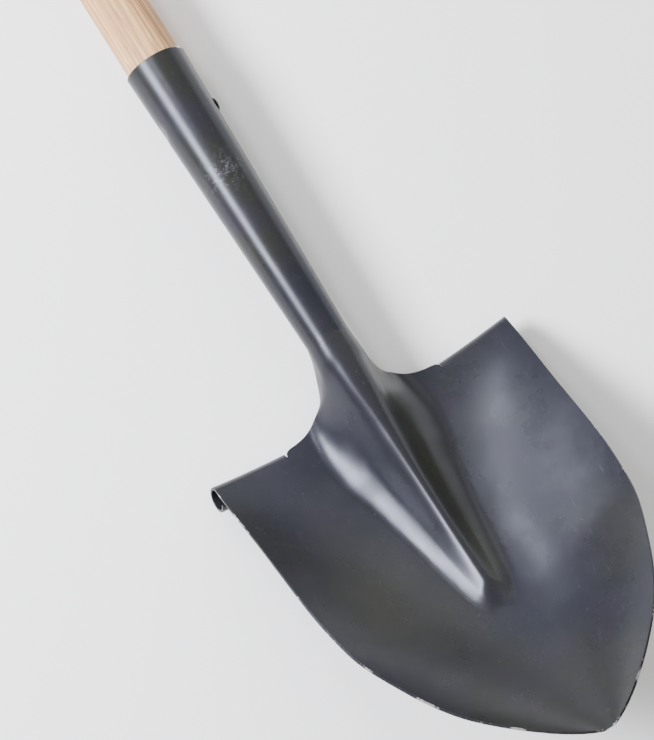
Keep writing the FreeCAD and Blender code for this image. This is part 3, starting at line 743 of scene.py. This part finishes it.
def ash(name):
    """Pale ash: long fine grain lines, darker pores, thin dull varnish."""
    net = Net(name)
    shader = net.shader
    lay = (0, GRAIN_TILT, 0)
    growth = net.noise(1.0, 2, 0.5, coords=net.stretched((1.1, 52, 30), lay), distortion=0.6)
    bands = net.math("FRACT", net.math("MULTIPLY", growth, 11.0))
    from_line = net.math("ABSOLUTE", net.math("SUBTRACT", net.math("MULTIPLY", bands, 2.0), 1.0))
    line = net.math("SUBTRACT", 1.0, from_line)
    fine = net.noise(1.0, 5, 0.7, coords=net.stretched((9, 420, 420), lay))
    streaks = net.noise(1.0, 3, 0.6, coords=net.stretched((24, 560, 560), lay))
    pores = net.span(streaks, 0.54, 0.62)
    colour = net.mix(net.span(fine, 0.38, 0.62), PALE_WOOD, WARM_WOOD)
    colour = net.mix(net.math("MULTIPLY", net.span(line, 0.50, 1.0), 0.75), colour, GROWTH_LINE)
    colour = net.mix(net.math("MULTIPLY", pores, 0.8), colour, PORE)
    stain = net.span(net.noise(6, 3, 0.6), 0.45, 0.75)
    colour = net.mix(net.math("MULTIPLY", stain, 0.25), colour, STAIN)
    net.put(shader.inputs["Base Color"], colour)
    net.put(shader.inputs["Roughness"], net.span(fine, 0.2, 0.8, 0.50, 0.65))
    shader.inputs["Specular IOR Level"].default_value = 0.2
    grain = net.bump(fine, 0.25, 0.0002)
    pitted = net.bump(net.math("SUBTRACT", 1.0, pores), 0.3, 0.00012, grain)
    net.put(shader.inputs["Normal"], pitted)
    return net.material


blade_paint = paint("blade_paint", BLADE_WEAR)
rivet_paint = paint("rivet_paint", RIVET_WEAR)
ash_wood = ash("ash_wood")
for piece, look, slot in ((blade, blade_paint, "blade_paint"), (handle, ash_wood, "ash_wood"),
                          (rivet, rivet_paint, "rivet_steel")):
    piece.data.materials.clear()
    piece.data.materials.append(look)
    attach(piece, "root")

# ------------------------------------------------------------------ camera
# In the blade's frame, in millimetres: towards the camera, its roll, how far it stands from a point
# on the blade, and how far it is moved sideways to put the tool where it belongs in the picture.
TOWARDS_CAMERA = Vector((0.5493, -0.1906, 0.8136))
ROLL = math.radians(52.47)
DISTANCE, LOOK_X, SHIFT_RIGHT, SHIFT_DOWN = 1599.0, 120.0, 82.30, 99.86
# Focal length as a multiple of the picture's long side, and the sensor's width in millimetres.
FOCAL, SENSOR, CLIP_END = 2600.0 / 740, 36.0, 50
view_dir = -TOWARDS_CAMERA
flat_x = (Vector((1, 0, 0)) - view_dir * view_dir.x).normalized()
flat_y = view_dir.cross(flat_x)
image_right = flat_x * math.cos(ROLL) - flat_y * math.sin(ROLL)
image_down = flat_x * math.sin(ROLL) + flat_y * math.cos(ROLL)
eye = (Vector((LOOK_X, 0, 0)) - view_dir * DISTANCE
       - image_right * SHIFT_RIGHT - image_down * SHIFT_DOWN)
camera_data = bpy.data.cameras.new("camera")
camera_data.sensor_width = SENSOR
camera_data.lens = FOCAL * SENSOR
camera_data.clip_end = CLIP_END
camera = bpy.data.objects.new("camera", camera_data)
axes = Matrix((turned(image_right), -turned(image_down), -turned(view_dir))).transposed()
camera.matrix_world = Matrix.Translation(laid(eye)) @ axes.to_4x4()
bpy.context.scene.collection.objects.link(camera)
bpy.context.scene.camera = camera

# ------------------------------------------------------------------ floor and light
FLOOR_HALF, FLOOR_CELLS = 14, 8
PAPER, PAPER_SHADE = rgb(0.94, 0.92, 0.885), rgb(0.91, 0.89, 0.855)
floor_bm = bmesh.new()
bmesh.ops.create_grid(floor_bm, x_segments=FLOOR_CELLS, y_segments=FLOOR_CELLS, size=FLOOR_HALF)
floor = new_object("floor", floor_bm)
floor_net = Net("floor")
floor_net.put(floor_net.shader.inputs["Base Color"],
              floor_net.mix(floor_net.noise(2, 2), PAPER, PAPER_SHADE))
floor_net.shader.inputs["Roughness"].default_value = 0.9
floor.data.materials.append(floor_net.material)

# White all round, dimmer towards the horizon.
world = bpy.data.worlds.new("studio")
bpy.context.scene.world = world
world.use_nodes = True
sky_nodes = world.node_tree.nodes
backdrop = sky_nodes["Background"]
backdrop.inputs["Color"].default_value = (1, 1, 1, 1)
sky_direction = sky_nodes.new("ShaderNodeSeparateXYZ")
horizon = sky_nodes.new("ShaderNodeMapRange")
horizon.interpolation_type = "SMOOTHSTEP"
for socket, value in (("From Min", 0.0), ("From Max", 0.75), ("To Min", 0.36), ("To Max", 0.85)):
    horizon.inputs[socket].default_value = value
sky_coords = sky_nodes.new("ShaderNodeTexCoord").outputs["Generated"]
world.node_tree.links.new(sky_coords, sky_direction.inputs[0])
world.node_tree.links.new(sky_direction.outputs["Z"], horizon.inputs["Value"])
world.node_tree.links.new(horizon.outputs[0], backdrop.inputs["Strength"])

COOL = (0.86, 0.90, 1.0)
FOCUS_X = 40
focus = laid(Vector((FOCUS_X, 0, 0)))
towards_camera = (camera.matrix_world.translation - focus).normalized()
right_dir = turned(image_right)
down_dir = turned(image_down)


def softbox(name, right, down, distance, width, height, power, lean):
    """Area light seen from the tool at angles right and down of the camera's direction.

    lean turns its long side in the picture, in degrees clockwise from upright.
    """
    away = math.radians(math.hypot(right, down))
    sideways = (right_dir * right + down_dir * down).normalized()
    direction = towards_camera * math.cos(away) + sideways * math.sin(away)
    upright = right_dir * math.sin(math.radians(lean)) - down_dir * math.cos(math.radians(lean))
    long_side = (upright - direction * upright.dot(direction)).normalized()
    data = bpy.data.lights.new(name, "AREA")
    data.shape = "RECTANGLE"
    data.size = width
    data.size_y = height
    data.energy = power
    data.color = COOL
    light = bpy.data.objects.new(name, data)
    rotation = Matrix((long_side.cross(direction), long_side, direction)).transposed()
    light.matrix_world = Matrix.Translation(focus + direction * distance) @ rotation.to_4x4()
    bpy.context.scene.collection.objects.link(light)


# name, degrees right and down of the camera's direction, distance, width, height, power, lean
for settings in (
    ("key", -46, -9, 2.4, 0.7, 1.05, 200, -33),
    ("socket", -36, 0, 2.4, 0.9, 0.6, 12, 0),
    ("wing", -32, -42.5, 0.67, 0.10, 0.08, 1.3, 20),
    ("sky", -10, -75, 3.0, 3.0, 1.6, 26, 0),
    ("right_rim", 72, -66, 2.6, 1.5, 1.5, 20, 0),
):
    softbox(*settings)
